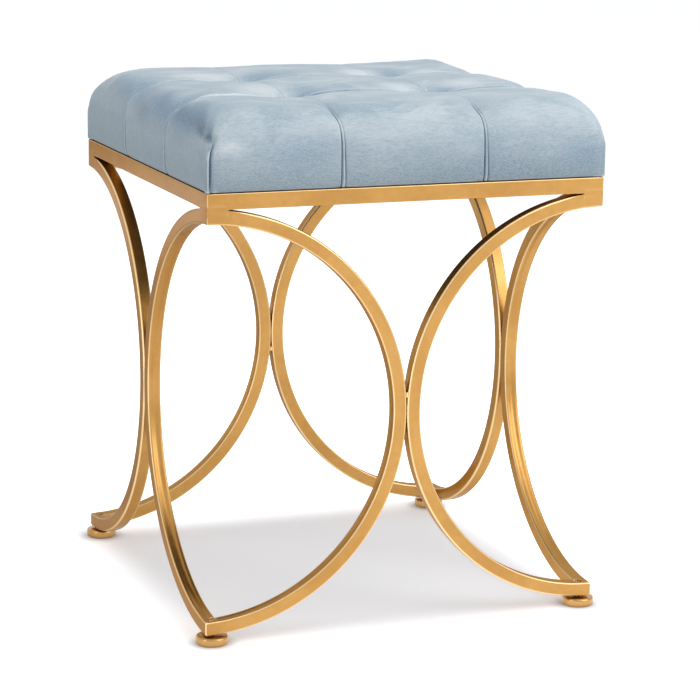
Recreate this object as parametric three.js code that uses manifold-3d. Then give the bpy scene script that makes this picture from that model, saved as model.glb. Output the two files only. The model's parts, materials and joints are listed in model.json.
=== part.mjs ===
// Square upholstered stool on a frame of bent square tube. Every side has two half round
// arcs standing back to back, so it reads as an X. Millimetres, +Z up, origin on the floor
// under the middle of the seat, +X to the right and +Y to the back.

import * as THREE from 'three';
import { mergeVertices } from 'three/addons/utils/BufferGeometryUtils.js';
import Module from 'manifold-3d';

const wasm = await Module();
wasm.setup();

// Driving dimensions of the frame
const frameWidth = 400;          // over the tubes, left to right
const frameDepth = 400;          // over the tubes, front to back
const railTopHeight = 428;       // floor to the top of the rails
const railTube = 15;             // square tube of the top frame
const railWall = 1.2;
const railEdge = 0.5;            // chamfer on the edges of the rail tube
const arcTube = 13.5;            // square tube of the arcs
const arcWall = 1.2;
const arcEdge = 1.4;             // chamfer on the edges of the arc tube
const lipWidth = 2.4;            // flat lip on both sides of the channel inside the bend
const channelDepth = 2.2;        // how far the inner wall of the bend is drawn in
const channelSlope = 1.5;        // width of the slope from lip to channel floor
const cornerBlockLength = 20;    // stretch where arc and rail are welded and ground flush
const weldStep = 0.4;            // run of the step at the end of that stretch

// Weld beads between the two arcs of a side
const weldHeight = 7;
const weldClearance = 0.15;
const weldProud = 0.3;           // bead stands proud of the tube faces
const frontWeldRise = 16;        // bead above the point where the arcs meet
const backWeldRise = -18;
const leftWeldRise = 12;
const rightWeldRise = 12;

// Feet
const discRadius = 15.5;
const discHeight = 8.6;
const discEdge = 2.2;            // rounding of the rims
const footGap = 1.4;             // disc to the underside of the tube
const footInset = 9.5;           // stud axis from the outer faces of the frame
const studRadius = 2.5;
const studSeat = 4.6;            // depth of the stud in the disc
const studProud = 0.8;           // stud tip above the bush
const bushRadius = 3.6;

// Seat
const dustCoverThickness = 0.8;
const dustCoverInset = 1.6;      // its edge behind the outer face of the rails
const boardThickness = 12;
const seatOverhang = 0.8;        // cover past the outer face of the rails
const coverThickness = 6.4;      // cloth and wadding on the sides
const cushionHeight = 72.5;      // rail top to the top of the cover just inside its edges
const crownHeight = 4;           // middle of the top above its edges, along the pleats
const tuftDepth = 13;            // tuft points below the pleats
const tuftReachX = 22;           // reach of the dip round a tuft
const tuftReachY = 15.5;
const panelPuff = 3.2;           // middle of a panel above its pleats
const cornerPuff = 2.2;          // how much more the corner panels swell
const pleatDepth = 1.6;
const sidePuff = 2.4;            // side panels bulge out between the pleats
const sideTuck = 2.6;            // cover drawn in at its lower edge
const rollDepth = 27;            // rounding from side to top, seen from above
const rollHeight = 39.5;         // and its height
const cornerRadiusLow = 4;       // upright corners below the rounding
const cornerRadiusHigh = 30;     // corners of the top
const cornerCalm = 16;           // beside a corner, where the bulge of the sides fades
const waddingThickness = 3;      // cover and wadding between the foam and a tuft's point
const foamRoll = 22;
const foamCorner = 14;
const boardCorner = 18;          // more than the foam's, so the board stays inside the cover
const tieRadius = 0.8;

// Fasteners of the seat
const tabLeg = 44;               // legs of the corner tab along the rails
const tabThickness = 3;
const tabHoleInset = 13.5;       // screw axis from the inner faces of the rails
const screwRadius = 2.7;
const screwHeadRadius = 6;
const screwHeadHeight = 3.6;
const screwTipInset = 0.8;       // tip below the top of the board
const headCrownShare = 0.8;      // radius of the head's end against its own
const tipShare = 0.3;            // chamfer at a thread's tip against its radius
const teeBarrelRadius = 4;
const teeBarrelLength = 9;
const teeFlangeRadius = 9.5;
const teeFlangeThickness = 1.2;

const clearance = 0.3;           // between faceted pieces that fit in each other
const overrun = 2;               // cutting tools run past the faces that they cut
const joinTolerance = 1e-4;      // points closer than this are one point

// Counts
const arcSteps = 22;
const panelCells = 8;
const sideRows = 4;
const roundSides = 12;
const discSides = 32;
const tieSides = 8;
const solveRounds = 6;           // rounds in which a point on a curve is closed in on

// Powers of the cushion's curves
const cornerPower = 1.3;         // how late the corners get round over the roll
const innerCornerPower = 6;      // how fast they get sharp again towards the middle
const swellPower = 0.6;          // fullness of a panel between its pleats
const edgeSwellShare = 0.7;      // of the dip between two panels, filled at the edges
const tuftPower = 1.15;          // steepness of the dip round a tuft
const bulgePower = 3;            // how low the bulge of the sides ends
const tuckPower = 8;             // how low the lower edge is drawn in

// Places of the tufts and of the pleats on the edges, as shares of the half sizes of the
// frame, read in the order left to right and front to back. The hand sewn grid is uneven.
const tuftShares = [
  [[-1, -1], [-0.345, -1], [0.37, -1], [1, -1]],
  [[-1, -0.357], [-0.375, -0.34], [0.365, -0.34], [1, -0.31]],
  [[-1, 0.3], [-0.375, 0.335], [0.35, 0.34], [1, 0.35]],
  [[-1, 1], [-0.35, 1], [0.36, 1], [1, 1]],
];
// Shares of a panel's width where the surface has its points
const innerPanelShares = [0, 0.07, 0.2, 0.36, 0.5, 0.64, 0.8, 0.93, 1];
const outerPanelShares = [0, 0.025, 0.075, 0.14, 0.22, 0.4, 0.68, 0.92, 1];

// Derived heights and places
const halfWidth = frameWidth / 2;
const halfDepth = frameDepth / 2;
const arcBottom = discHeight + footGap;
const arcTop = railTopHeight - railTube;
const boardBottom = railTopHeight + dustCoverThickness;
const boardTop = boardBottom + boardThickness;
const tabHoleFromFace = railTube + tabHoleInset;

function material(name, colour, metalness, roughness) {
  const made = new THREE.MeshStandardMaterial({ color: colour, metalness, roughness });
  made.name = name;
  return made;
}

const stool = new THREE.Group();
stool.name = 'x_frame_stool';

function place(name, geometry, made, parent = stool) {
  const mesh = new THREE.Mesh(geometry, made);
  mesh.name = name;
  parent.add(mesh);
  return mesh;
}

// Solids

function toSolid(geometry) {
  const bare = geometry.index ? geometry.toNonIndexed() : geometry.clone();
  for (const name of Object.keys(bare.attributes)) {
    if (name !== 'position') bare.deleteAttribute(name);
  }
  const merged = mergeVertices(bare, joinTolerance);
  return new wasm.Manifold(new wasm.Mesh({
    numProp: 3,
    vertProperties: new Float32Array(merged.attributes.position.array),
    triVerts: new Uint32Array(merged.index.array),
  }));
}

function toGeometry(solid) {
  const mesh = solid.getMesh();
  const geometry = new THREE.BufferGeometry();
  geometry.setAttribute('position', new THREE.BufferAttribute(mesh.vertProperties, 3));
  geometry.setIndex(new THREE.BufferAttribute(mesh.triVerts, 1));
  geometry.computeVertexNormals();
  return geometry;
}

function cut(geometry, ...tools) {
  let solid = toSolid(geometry);
  for (const tool of tools) solid = solid.subtract(toSolid(tool));
  return toGeometry(solid);
}

// Upright cylinder from one height to another
function post(radius, from, to, x = 0, y = 0, sides = roundSides) {
  const geometry = new THREE.CylinderGeometry(radius, radius, to - from, sides);
  geometry.rotateX(Math.PI / 2);
  geometry.translate(x, y, (from + to) / 2);
  return geometry;
}

// Turned piece about the Z axis, from a profile of radius and height pairs
function turned(profile, sides = roundSides) {
  const geometry = new THREE.LatheGeometry(profile.map(([r, z]) => new THREE.Vector2(r, z)), sides);
  geometry.rotateX(Math.PI / 2);
  return geometry;
}

// Turns the faces outward if the solid came out inside out, and gives the geometry
function closedMesh(points, faces) {
  const corner = [new THREE.Vector3(), new THREE.Vector3(), new THREE.Vector3()];
  let volume = 0;
  for (let k = 0; k < faces.length; k += 3) {
    for (let n = 0; n < 3; n += 1) corner[n].fromArray(points[faces[k + n]]);
    volume += corner[0].dot(corner[1].cross(corner[2]));
  }
  if (volume < 0) faces.reverse();
  const geometry = new THREE.BufferGeometry();
  geometry.setAttribute('position', new THREE.Float32BufferAttribute(points.flat(), 3));
  geometry.setIndex(faces);
  geometry.computeVertexNormals();
  return geometry;
}

// Hollow tube from rings of points. Every ring holds the outer loop and then the inner loop
// of the section, and both open ends get a flat rim between the loops.
function hollowSweep(rings, section) {
  const outerCount = section.outer.length;
  const size = outerCount + section.inner.length;
  const faces = [];
  const wall = (start, count, sign) => {
    for (let k = 0; k < rings.length - 1; k += 1) {
      for (let j = 0; j < count; j += 1) {
        const a = k * size + start + j;
        const b = k * size + start + ((j + 1) % count);
        if (sign > 0) faces.push(a, b, a + size, b, b + size, a + size);
        else faces.push(a, a + size, b, b, a + size, b + size);
      }
    }
  };
  wall(0, outerCount, 1);
  wall(outerCount, section.inner.length, -1);
  const flat = (loop) => loop.map(([u, v]) => new THREE.Vector2(u, v));
  const rim = THREE.ShapeUtils.triangulateShape(flat(section.outer), [flat(section.inner)]);
  const last = (rings.length - 1) * size;
  for (const [a, b, c] of rim) {
    faces.push(a, c, b);
    faces.push(last + a, last + b, last + c);
  }
  return closedMesh(rings.flat(), faces);
}

// The four corners of the frame, with the signs of their x and y
const corners = [
  { name: 'front_left', x: -1, y: -1 },
  { name: 'front_right', x: 1, y: -1 },
  { name: 'back_right', x: 1, y: 1 },
  { name: 'back_left', x: -1, y: 1 },
];

// The four sides. Along a side, "along" runs from a corner inwards and "depth" from the
// outer face of the frame inwards.
const sides = [
  { name: 'front', half: halfWidth, ends: ['left', 'right'], weldRise: frontWeldRise },
  { name: 'back', half: halfWidth, ends: ['left', 'right'], weldRise: backWeldRise },
  { name: 'left', half: halfDepth, ends: ['front', 'back'], weldRise: leftWeldRise },
  { name: 'right', half: halfDepth, ends: ['front', 'back'], weldRise: rightWeldRise },
];

function sidePoint(side, end, along, depth, z) {
  switch (side.name) {
    case 'front': return [end * (halfWidth - along), -halfDepth + depth, z];
    case 'back': return [end * (halfWidth - along), halfDepth - depth, z];
    case 'left': return [-halfWidth + depth, end * (halfDepth - along), z];
    default: return [halfWidth - depth, end * (halfDepth - along), z];
  }
}

// Bent arcs

// Section of the bent tube: u points out of the bend, v lies across it. The wall inside the
// bend is drawn in between two lips, as the press leaves it.
function arcSection() {
  const h = arcTube / 2;
  const inner = h - arcWall;
  const floorHalf = h - lipWidth - channelSlope;
  const slopeOffset = arcWall * Math.hypot(channelDepth, channelSlope) / channelDepth;
  const cavityHalf = floorHalf - arcWall * channelSlope / channelDepth + slopeOffset;
  return {
    outer: [
      [h, -h + arcEdge], [h, h - arcEdge], [h - arcEdge, h], [-h + arcEdge, h],
      [-h, h - arcEdge], [-h, h - lipWidth], [-h + channelDepth, floorHalf],
      [-h + channelDepth, -floorHalf], [-h, -h + lipWidth], [-h, -h + arcEdge],
      [-h + arcEdge, -h], [h - arcEdge, -h],
    ],
    inner: [
      [inner, -inner], [inner, inner], [-inner, inner],
      [-h + channelDepth + arcWall, cavityHalf], [-h + channelDepth + arcWall, -cavityHalf],
      [-inner, -inner],
    ],
  };
}

// Half ellipse of the tube's middle line in the plane of one side, centred on the upright
// line through the corner
function arcPath(side) {
  const h = arcTube / 2;
  const reach = side.half - clearance / 2 - h;
  const rise = (arcTop - arcBottom) / 2 - h;
  const middle = (arcTop + arcBottom) / 2;
  const at = (angle, u) => {
    const c = Math.cos(angle);
    const s = Math.sin(angle);
    const norm = Math.hypot(rise * c, reach * s);
    return { along: reach * c + u * rise * c / norm, z: middle + rise * s + u * reach * s / norm };
  };
  // Angle at which the line at u crosses a given distance from the corner
  const angleFor = (along, u) => {
    let angle = Math.PI / 2;
    for (let round = 0; round < solveRounds; round += 1) {
      const norm = Math.hypot(rise * Math.cos(angle), reach * Math.sin(angle));
      angle = Math.acos(along / (reach + u * rise / norm));
    }
    return angle;
  };
  return { at, angleFor, middle };
}

function arcGeometry(side, end) {
  const h = arcTube / 2;
  const section = arcSection();
  const path = arcPath(side);
  const loops = [...section.outer, ...section.inner];
  const ring = (angleOf, raised) => loops.map(([u, v], j) => {
    const lifted = raised && j < 2;
    const depth = lifted ? h + Math.sign(v) * h : v + h;
    const { along, z } = path.at(angleOf(u, depth), u);
    return sidePoint(side, end, along, depth, lifted ? arcTop : z);
  });
  const mitreTop = (u, depth) => path.angleFor(depth, u);
  const mitreBottom = (u, depth) => -path.angleFor(depth, u);
  const blockEnd = path.angleFor(cornerBlockLength, 0);
  const bendStart = path.angleFor(cornerBlockLength + weldStep, 0);
  const stepAngle = (bendStart + Math.PI / 2) / arcSteps;
  const rings = [ring(mitreTop, true), ring(() => blockEnd, true)];
  for (let k = 0; k < arcSteps; k += 1) rings.push(ring(() => bendStart - k * stepAngle, false));
  rings.push(ring(mitreBottom, false));
  return hollowSweep(rings, section);
}

const goldMaterial = () => material('gold_frame', 0xc9a063, 0.85, 0.42);
const zincMaterial = () => material('zinc', 0xb9b7b2, 0.9, 0.4);

const footX = halfWidth - footInset;
const footY = halfDepth - footInset;

for (const side of sides) {
  side.ends.forEach((endName, index) => {
    const end = index === 0 ? -1 : 1;
    const [x, y] = sidePoint(side, end, footInset, footInset, 0);
    const hole = post(bushRadius + clearance, arcBottom - overrun,
      arcBottom + arcTube + overrun, x, y);
    place(`arc_${side.name}_${endName}`, cut(arcGeometry(side, end), hole), goldMaterial());
  });
}

// Top frame

function railGeometry(side) {
  const t = railTube;
  const e = railEdge;
  const w = railWall;
  const section = {
    outer: [[0, e], [e, 0], [t - e, 0], [t, e], [t, t - e], [t - e, t], [e, t], [0, t - e]],
    inner: [[w, w], [t - w, w], [t - w, t - w], [w, t - w]],
  };
  const loops = [...section.outer, ...section.inner];
  const rings = [-1, 1].map((end) => loops.map(
    ([depth, up]) => sidePoint(side, end, depth, depth, arcTop + up)));
  return hollowSweep(rings, section);
}

for (const side of sides) place(`rail_${side.name}`, railGeometry(side), goldMaterial());

// Weld beads, which fill the narrow gap between the backs of the two arcs

function weldGeometry(side) {
  const path = arcPath(side);
  const h = arcTube / 2;
  const halfGap = (rise) => {
    let angle = 0;
    for (let round = 0; round < solveRounds; round += 1) {
      angle += (rise - (path.at(angle, h).z - path.middle)) / side.half;
    }
    return side.half - path.at(angle, h).along;
  };
  const rows = [-1, 0, 1].map((k) => side.weldRise + k * weldHeight / 2);
  const points = [];
  for (const rise of rows) {
    const half = Math.max(halfGap(rise) - weldClearance, weldClearance / 2);
    for (const [sign, depth] of [[-1, -weldProud], [1, -weldProud],
      [1, arcTube + weldProud], [-1, arcTube + weldProud]]) {
      points.push(sidePoint(side, 1, side.half + sign * half, depth, path.middle + rise));
    }
  }
  const faces = [0, 2, 1, 0, 3, 2];
  for (let k = 0; k < rows.length - 1; k += 1) {
    for (let j = 0; j < 4; j += 1) {
      const a = 4 * k + j;
      const b = 4 * k + (j + 1) % 4;
      faces.push(a, b, a + 4, b, b + 4, a + 4);
    }
  }
  const last = 4 * (rows.length - 1);
  faces.push(last, last + 1, last + 2, last, last + 2, last + 3);
  return closedMesh(points, faces);
}

for (const side of sides) place(`weld_${side.name}`, weldGeometry(side), goldMaterial());

// Corner tabs inside the rails, with the hole for a seat screw

function tabGeometry() {
  const nose = tabLeg - 2 * tabHoleInset;
  const outline = new THREE.Shape();
  outline.moveTo(0, 0);
  outline.lineTo(tabLeg, 0);
  outline.lineTo(tabLeg, nose / 2);
  outline.lineTo(nose / 2, tabLeg);
  outline.lineTo(0, tabLeg);
  outline.closePath();
  const hole = new THREE.Path();
  hole.absarc(tabHoleInset, tabHoleInset, screwRadius + clearance, 0, 2 * Math.PI, true);
  outline.holes.push(hole);
  return new THREE.ExtrudeGeometry(outline, {
    depth: tabThickness, bevelEnabled: false, curveSegments: roundSides / 2,
  });
}

corners.forEach((corner, index) => {
  const tab = place(`corner_tab_${corner.name}`, tabGeometry(), goldMaterial());
  tab.rotation.z = index * Math.PI / 2;
  tab.position.set(corner.x * (halfWidth - railTube), corner.y * (halfDepth - railTube),
    railTopHeight - tabThickness);
});

// Feet: a disc on a threaded stud, in a bush welded into the bottom corner of the frame

const bushTop = arcBottom + arcTube - channelDepth;

function discGeometry() {
  const soft = discEdge * (1 - Math.SQRT1_2);
  const bore = studRadius + clearance;
  return turned([
    [0, 0], [discRadius - discEdge, 0], [discRadius - soft, soft], [discRadius, discEdge],
    [discRadius, discHeight - discEdge], [discRadius - soft, discHeight - soft],
    [discRadius - discEdge, discHeight], [bore, discHeight],
    [bore, discHeight - studSeat], [0, discHeight - studSeat],
  ], discSides);
}

function studGeometry() {
  const from = discHeight - studSeat + clearance;
  const to = bushTop + studProud;
  const point = studRadius * tipShare;
  return turned([[0, from], [studRadius, from], [studRadius, to - point],
    [studRadius - point, to], [0, to]]);
}

function bushGeometry() {
  const bore = studRadius + clearance;
  return turned([[bore, arcBottom], [bushRadius, arcBottom], [bushRadius, bushTop],
    [bore, bushTop], [bore, arcBottom]]);
}

for (const corner of corners) {
  const foot = new THREE.Group();
  foot.position.set(corner.x * footX, corner.y * footY, 0);
  stool.add(foot);
  place(`foot_disc_${corner.name}`, discGeometry(), goldMaterial(), foot);
  place(`foot_stud_${corner.name}`, studGeometry(), zincMaterial(), foot);
  place(`foot_bush_${corner.name}`, bushGeometry(), zincMaterial(), foot);
}

// Seat board, dust cover, tee nuts and screws

const seatHalfX = halfWidth + seatOverhang;
const seatHalfY = halfDepth + seatOverhang;
const coreHalfX = seatHalfX - coverThickness - clearance;
const coreHalfY = seatHalfY - coverThickness - clearance;
const screwX = halfWidth - tabHoleFromFace;
const screwY = halfDepth - tabHoleFromFace;

// Plate with round corners and a hole at every seat screw
function roundedPlate(halfX, halfY, radius, thickness, z, holeRadius) {
  const shape = new THREE.Shape();
  [[1, 1], [-1, 1], [-1, -1], [1, -1]].forEach(([signX, signY], quarter) => {
    shape.absarc(signX * (halfX - radius), signY * (halfY - radius), radius,
      quarter * Math.PI / 2, (quarter + 1) * Math.PI / 2);
  });
  shape.closePath();
  for (const corner of corners) {
    const hole = new THREE.Path();
    hole.absarc(corner.x * screwX, corner.y * screwY, holeRadius, 0, 2 * Math.PI, true);
    shape.holes.push(hole);
  }
  const geometry = new THREE.ExtrudeGeometry(shape, {
    depth: thickness, bevelEnabled: false, curveSegments: roundSides / 2,
  });
  geometry.translate(0, 0, z);
  return geometry;
}

const boardWood = material('plywood', 0xc8a878, 0, 0.8);
const counterbores = corners.map((corner) => post(teeFlangeRadius + clearance,
  boardTop - teeFlangeThickness, boardTop + overrun, corner.x * screwX, corner.y * screwY));
place('seat_board', cut(roundedPlate(coreHalfX, coreHalfY, boardCorner, boardThickness,
  boardBottom, teeBarrelRadius + clearance), ...counterbores), boardWood);

place('dust_cover', roundedPlate(halfWidth - dustCoverInset, halfDepth - dustCoverInset,
  cornerRadiusLow, dustCoverThickness, railTopHeight, screwRadius + clearance),
material('dust_cloth', 0x17161a, 0, 0.95));

function screwGeometry() {
  const seat = railTopHeight - tabThickness;
  const low = seat - screwHeadHeight;
  const tip = boardTop - screwTipInset;
  const point = screwRadius * tipShare;
  return turned([
    [0, low], [screwHeadRadius * headCrownShare, low], [screwHeadRadius, low + screwHeadHeight / 2],
    [screwHeadRadius, seat], [screwRadius, seat], [screwRadius, tip - point],
    [screwRadius - point, tip], [0, tip],
  ]);
}

function teeNutGeometry() {
  const bore = screwRadius + clearance;
  const low = boardTop - teeBarrelLength;
  const flangeLow = boardTop - teeFlangeThickness;
  return turned([[bore, low], [teeBarrelRadius, low], [teeBarrelRadius, flangeLow],
    [teeFlangeRadius, flangeLow], [teeFlangeRadius, boardTop], [bore, boardTop], [bore, low]]);
}

for (const corner of corners) {
  const fastener = new THREE.Group();
  fastener.position.set(corner.x * screwX, corner.y * screwY, 0);
  stool.add(fastener);
  place(`seat_screw_${corner.name}`, screwGeometry(), zincMaterial(), fastener);
  place(`tee_nut_${corner.name}`, teeNutGeometry(), zincMaterial(), fastener);
}

// Soft parts. A padded form is a grid over the top, which rolls over into rows down the
// sides, closed by a flat underside.

// Pulls a point of a rectangle in so that the rectangle gets round corners
function roundCorners(x, y, halfX, halfY, radius) {
  const u = (Math.abs(x) - halfX + radius) / radius;
  const v = (Math.abs(y) - halfY + radius) / radius;
  if (!(u > 0 && v > 0)) return [x, y];
  const roundX = u * Math.sqrt(1 - v * v / 2);
  const roundY = v * Math.sqrt(1 - u * u / 2);
  return [Math.sign(x) * (halfX - radius + radius * roundX),
    Math.sign(y) * (halfY - radius + radius * roundY)];
}

// Place of a grid point on the form. Each rectangle of the grid, one inside the other, gets
// corners of its own radius. share is 0 on the flat of the top and 1 where the sides begin.
function topPlace(form, x, y) {
  const { halfX, halfY, rollDepth: depth, cornerLow, cornerHigh } = form;
  const inset = Math.min(halfX - Math.abs(x), halfY - Math.abs(y));
  const share = Math.min(1, Math.max(0, 1 - inset / depth));
  const rise = Math.sqrt(1 - share * share);
  const half = Math.min(halfX, halfY);
  const radius = share > 0
    ? cornerLow + (cornerHigh - cornerLow) * rise ** cornerPower
    : cornerHigh * ((half - inset) / (half - depth)) ** innerCornerPower;
  return { share, rise, round: roundCorners(x, y, halfX - inset, halfY - inset, radius) };
}

function paddedForm(form) {
  const { halfX, halfY, bottom, top, cells, rows } = form;
  const sideTop = top - form.rollHeight;
  const stride = cells + 1;
  const points = [];
  const faces = [];
  for (let j = 0; j <= cells; j += 1) {
    for (let i = 0; i <= cells; i += 1) {
      const spot = form.spot(i, j);
      const { share, rise, round: [x, y] } = topPlace(form, spot.x, spot.y);
      const push = share ** 2 * spot.push;
      const z = sideTop + form.rollHeight * rise + (1 - share ** 2) * spot.lift;
      points.push([x + spot.outX * push, y + spot.outY * push, z]);
    }
  }
  for (let j = 0; j < cells; j += 1) {
    for (let i = 0; i < cells; i += 1) {
      const a = j * stride + i;
      faces.push(a, a + 1, a + stride, a + 1, a + stride + 1, a + stride);
    }
  }
  const edge = [];
  for (let k = 0; k < cells; k += 1) edge.push([k, 0]);
  for (let k = 0; k < cells; k += 1) edge.push([cells, k]);
  for (let k = cells; k > 0; k -= 1) edge.push([k, cells]);
  for (let k = cells; k > 0; k -= 1) edge.push([0, k]);
  let above = edge.map(([i, j]) => j * stride + i);
  for (let row = 1; row <= rows; row += 1) {
    const down = row / rows;
    const below = edge.map(([i, j]) => {
      const spot = form.spot(i, j);
      const [x, y] = roundCorners(spot.x, spot.y, halfX, halfY, form.cornerLow);
      const push = spot.push * (1 - down ** bulgePower) - spot.tuck * down ** tuckPower;
      points.push([x + spot.outX * push, y + spot.outY * push,
        sideTop + (bottom - sideTop) * down]);
      return points.length - 1;
    });
    edge.forEach((_, k) => {
      const next = (k + 1) % edge.length;
      faces.push(above[k], below[k], above[next], above[next], below[k], below[next]);
    });
    above = below;
  }
  points.push([0, 0, bottom]);
  const centre = points.length - 1;
  edge.forEach((_, k) => faces.push(centre, above[(k + 1) % edge.length], above[k]));
  return closedMesh(points, faces);
}

// Plain block: the grid is close over the roll and open in the middle
const rollShares = [0, 0.2, 0.5, 1];

function plainPlace(index, half, roll) {
  const count = rollShares.length;
  if (index < count) return -half + rollShares[index] * roll;
  if (index > count) return half - rollShares[2 * count - index] * roll;
  return 0;
}

function plainSpot(halfX, halfY, roll) {
  return (i, j) => ({
    x: plainPlace(i, halfX, roll), y: plainPlace(j, halfY, roll),
    outX: 0, outY: 0, push: 0, tuck: 0, lift: 0,
  });
}

// Tufted top: nine panels between the pleats
const panels = 3;

function panelOf(index) {
  const panel = Math.min(panels - 1, Math.floor(index / panelCells));
  const step = index - panel * panelCells;
  if (panel === 0) return { panel, share: outerPanelShares[step] };
  if (panel === panels - 1) return { panel, share: 1 - outerPanelShares[panelCells - step] };
  return { panel, share: innerPanelShares[step] };
}

// Swell of a panel from pleat to pleat. An outer panel keeps its height to the edge, and
// along the edge, edge being 1 there, the swell is nearly even.
function swell({ panel, share }, edge) {
  let phase = share;
  if (panel === 0) phase = (1 + share) / 2;
  if (panel === panels - 1) phase = share / 2;
  const wave = Math.sin(Math.PI * phase) ** swellPower;
  return wave + (1 - wave) * edgeSwellShare * edge;
}

// How far a place in an outer panel is on its way to the edge
function edgeShare({ panel, share }) {
  if (panel === 0) return 1 - share;
  return panel === panels - 1 ? share : 0;
}

const onPleat = (index) => index % panelCells === 0 && index > 0 && index < panels * panelCells;

function tuftedSpot(i, j) {
  const p = panelOf(i);
  const q = panelOf(j);
  const net = (di, dj, axis) => tuftShares[q.panel + dj][p.panel + di][axis];
  const blend = (axis) => (1 - q.share) * ((1 - p.share) * net(0, 0, axis) + p.share * net(1, 0, axis))
    + q.share * ((1 - p.share) * net(0, 1, axis) + p.share * net(1, 1, axis));
  const x = blend(0) * seatHalfX;
  const y = blend(1) * seatHalfY;
  const crownX = Math.max(0, 1 - (x / (seatHalfX - rollDepth)) ** 2);
  const crownY = Math.max(0, 1 - (y / (seatHalfY - rollDepth)) ** 2);
  const edgeX = edgeShare(p);
  const edgeY = edgeShare(q);
  let lift = crownHeight * crownX * crownY + panelPuff * swell(p, edgeY) * swell(q, edgeX)
    + cornerPuff * edgeX * edgeY;
  if (onPleat(i) || onPleat(j)) lift -= pleatDepth;
  for (const row of [1, 2]) {
    for (const column of [1, 2]) {
      const [tx, ty] = tuftShares[row][column];
      const away = Math.hypot((x - tx * seatHalfX) / tuftReachX, (y - ty * seatHalfY) / tuftReachY);
      lift -= tuftDepth * Math.exp(-(away ** tuftPower));
    }
  }
  const insetX = seatHalfX - Math.abs(x);
  const insetY = seatHalfY - Math.abs(y);
  const toSideX = insetX < insetY;
  const calm = Math.min(1, Math.abs(insetX - insetY) / cornerCalm);
  const isPleat = onPleat(toSideX ? j : i);
  return {
    x, y, lift,
    outX: toSideX ? Math.sign(x) : 0,
    outY: toSideX ? 0 : Math.sign(y),
    push: calm * (sidePuff * swell(toSideX ? q : p, 0) - (isPleat ? pleatDepth : 0)),
    tuck: calm * sideTuck,
  };
}

const foamTop = railTopHeight + cushionHeight - tuftDepth - waddingThickness;

function foamForm(extra, bottom) {
  const halfX = coreHalfX + extra;
  const halfY = coreHalfY + extra;
  const cells = 2 * rollShares.length;
  return paddedForm({
    halfX, halfY, bottom, top: foamTop + extra, rollDepth: foamRoll, rollHeight: foamRoll,
    cornerLow: foamCorner, cornerHigh: foamCorner, cells, rows: 1,
    spot: plainSpot(halfX, halfY, foamRoll),
  });
}

const tufts = [
  ['front_left', 1, 1], ['front_right', 1, 2], ['back_left', 2, 1], ['back_right', 2, 2],
].map(([name, row, column]) => ({
  name, x: tuftShares[row][column][0] * seatHalfX, y: tuftShares[row][column][1] * seatHalfY,
}));

const tieHoles = tufts.map(({ x, y }) => post(tieRadius + clearance, boardTop - overrun,
  foamTop + overrun, x, y, tieSides));
place('seat_foam', cut(foamForm(0, boardTop), ...tieHoles), material('foam', 0xe6dcae, 0, 0.9));

const velvet = material('velvet', 0x93aabd, 0, 0.85);
const coverOutside = paddedForm({
  halfX: seatHalfX, halfY: seatHalfY, bottom: boardBottom, top: railTopHeight + cushionHeight,
  rollDepth, rollHeight, cornerLow: cornerRadiusLow, cornerHigh: cornerRadiusHigh,
  cells: panels * panelCells, rows: sideRows, spot: tuftedSpot,
});
place('seat_cover', cut(coverOutside, foamForm(clearance, boardBottom - overrun)), velvet);

for (const { name, x, y } of tufts) {
  place(`tuft_tie_${name}`, post(tieRadius, boardTop, foamTop, x, y, tieSides),
    material('twine', 0xd8d2c4, 0, 0.9));
}

export default stool;
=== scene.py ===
# Looks of the x frame stool. Sizes are in millimetres and turn into metres where a mesh is
# made. X runs to the right of the front face, Y to the back, Z up, origin on the floor.
import json
import math
from functools import reduce

import bmesh
import bpy
import numpy as np
from mathutils import Matrix, Vector, noise


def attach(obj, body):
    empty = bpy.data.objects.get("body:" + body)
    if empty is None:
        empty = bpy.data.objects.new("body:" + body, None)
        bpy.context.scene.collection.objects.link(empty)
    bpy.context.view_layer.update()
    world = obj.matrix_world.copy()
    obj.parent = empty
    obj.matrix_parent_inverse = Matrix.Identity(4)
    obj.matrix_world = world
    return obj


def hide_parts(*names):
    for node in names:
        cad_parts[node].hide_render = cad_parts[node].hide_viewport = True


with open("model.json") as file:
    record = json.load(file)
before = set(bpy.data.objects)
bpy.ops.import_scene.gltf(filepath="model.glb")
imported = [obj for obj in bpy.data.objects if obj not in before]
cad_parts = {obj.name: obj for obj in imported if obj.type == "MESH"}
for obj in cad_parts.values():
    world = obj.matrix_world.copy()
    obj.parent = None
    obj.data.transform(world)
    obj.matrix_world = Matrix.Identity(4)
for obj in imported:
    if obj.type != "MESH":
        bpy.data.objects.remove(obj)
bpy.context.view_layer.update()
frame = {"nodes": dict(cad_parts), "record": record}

MM = 0.001

# Sizes shared with the solids
HALF = 200  # half the width and depth of the frame
RAIL_TOP = 428
RAIL_TUBE = 15
ARC_TUBE = 13.5
ARC_BOTTOM = 10
ARC_TOP = RAIL_TOP - RAIL_TUBE
LIP_WIDTH = 2.4
CHANNEL_DEPTH = 2.2
BLOCK_LENGTH = 20  # where arc and rail are welded and ground flush
BLOCK_STEP = 0.4
WELD_HEIGHT = 7
WELD_RISES = {"front": 16, "back": -18, "left": 12, "right": 12}
DISC_RADIUS = 15.5
DISC_HEIGHT = 8.6
DISC_EDGE = 2.2
FOOT_INSET = 9.5
FOOT = HALF - FOOT_INSET  # from the middle to a foot's axis, along X and Y
STUD_RADIUS = 2.5
STUD_SEAT = 4.6
STUD_PROUD = 0.8
BUSH_RADIUS = 3.6
CLEARANCE = 0.3
TAB_THICKNESS = 3
SCREW_INSET = 28.5  # screw axis from the outer faces of the frame
SCREW_HEAD_RADIUS = 6
SCREW_HEAD_HEIGHT = 3.6
SCREW_RADIUS = 2.7
SCREW_TIP = 440
CLOTH_INSET = 1.6
SEAT_HALF = 200.8
SEAT_BOTTOM = 428.8
ROLL_START = 461  # where the sides begin to roll over to the top
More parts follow.
